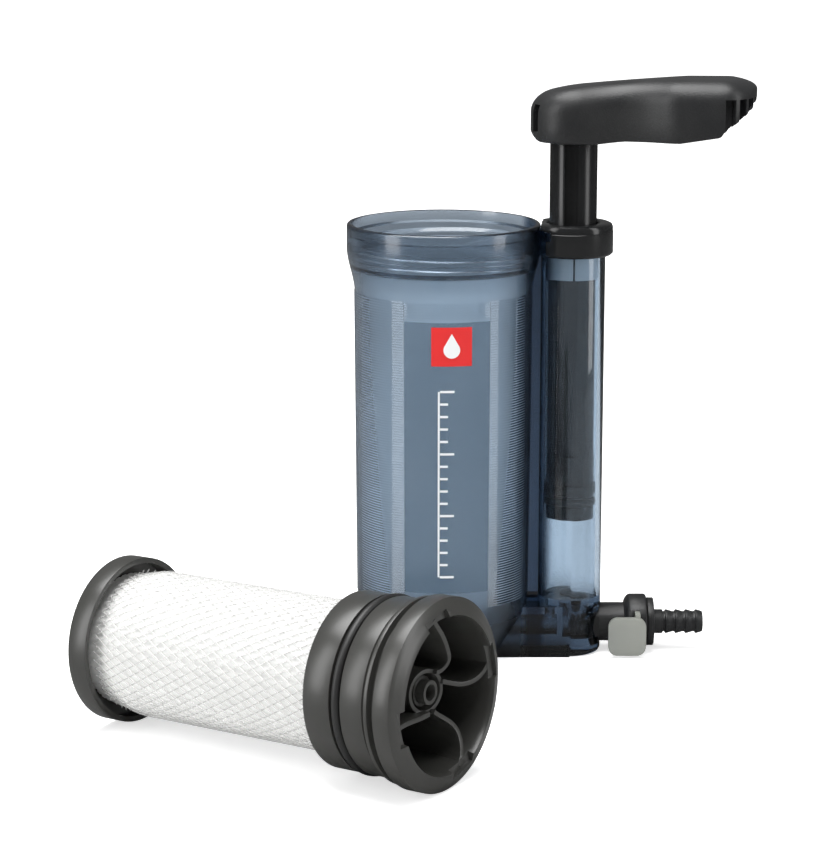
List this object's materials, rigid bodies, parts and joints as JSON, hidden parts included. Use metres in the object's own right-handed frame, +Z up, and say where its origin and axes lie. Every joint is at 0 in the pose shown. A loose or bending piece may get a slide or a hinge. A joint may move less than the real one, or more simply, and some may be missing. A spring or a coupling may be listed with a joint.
{
  "type": "pump water filter",
  "caption": "Hand-pumped camping water filter: clear canister with side pump, swivel handle, hose coupling, and its pleated cartridge taken out and laid beside it.",
  "frame": {"origin": "canister axis on the underside of the base, which is the ground plane", "axes": "+Z up, +X from the canister axis to the pump axis, the label faces -Y"},
  "size_m": [0.2092, 0.1894, 0.188],
  "materials": {
    "housing_clear": "clear blue-grey moulded plastic",
    "label_film": "clear film",
    "tab_red": "printed",
    "print_white": "printed",
    "black_plastic": "fine texture",
    "black_gloss": "satin",
    "bush_grey": "frosted",
    "black_rubber": "smooth",
    "steel": "ground",
    "latch_grey": "satin",
    "head_grey": "satin",
    "mesh_white": "net",
    "media_white": "pleated glass fibre",
    "carbon": "pressed carbon"
  },
  "bodies": {
    "housing": {"housing": "housing_clear", "label_panel": "label_film", "label_tab": "tab_red", "label_print": "print_white", "guide_bush": "bush_grey", "inlet_coupling": "black_plastic", "coupling_o_ring": "black_rubber"},
    "cap": {"pump_cap": "black_gloss"},
    "piston": {"piston_o_ring": "black_rubber", "piston_wear_ring": "black_gloss"},
    "rod": {"pump_rod": "black_gloss", "handle": "black_plastic", "handle_pin": "steel"},
    "inlet_valve": {"inlet_valve": "black_rubber"},
    "transfer_valve": {"transfer_valve": "black_rubber"},
    "latch": {"latch_plate": "latch_grey", "latch_spring": "steel"},
    "insert": {"hose_insert": "black_plastic", "insert_o_ring": "black_rubber"},
    "cartridge": {"cartridge_end_cup": "head_grey", "mesh_sleeve": "mesh_white", "pleated_media": "media_white", "carbon_core": "carbon", "core_tube": "print_white", "media_end_plate": "head_grey", "cartridge_head": "head_grey", "head_o_ring": "black_rubber"}
  },
  "joints": [
    {"name": "pump_stroke", "type": "slide", "parent": "housing", "child": "piston", "axis": [0, 0, 1], "range_m": [-0.024, 0.066]},
    {"name": "handle_swivel", "type": "hinge", "parent": "piston", "child": "rod", "pos_m": [0.0412, 0, 0.1], "axis": [0, 0, 1], "continuous": true},
    {"name": "cap_turn", "type": "hinge", "parent": "housing", "child": "cap", "pos_m": [0.0412, 0, 0.136], "axis": [0, 0, 1], "range_deg": [0, 11]},
    {"name": "inlet_valve_lift", "type": "slide", "parent": "housing", "child": "inlet_valve", "axis": [0, 0, 1], "range_m": [0, 0.0008]},
    {"name": "transfer_valve_lift", "type": "slide", "parent": "housing", "child": "transfer_valve", "axis": [-1, 0, 0], "range_m": [0, 0.0008]},
    {"name": "latch_press", "type": "slide", "parent": "housing", "child": "latch", "axis": [0, 1, 0], "range_m": [0, 0.0013], "stiffness_N_per_m": 400, "springref_m": -0.001, "deforming": ["latch_spring"]},
    {"name": "hose_swivel", "type": "hinge", "parent": "housing", "child": "insert", "pos_m": [0.06, 0, 0.0092], "axis": [1, 0, 0], "continuous": true},
    {"name": "cartridge_lift", "type": "slide", "parent": "housing", "child": "cartridge", "axis": [0, 0, 1], "range_m": [0, 0.12]}
  ]
}
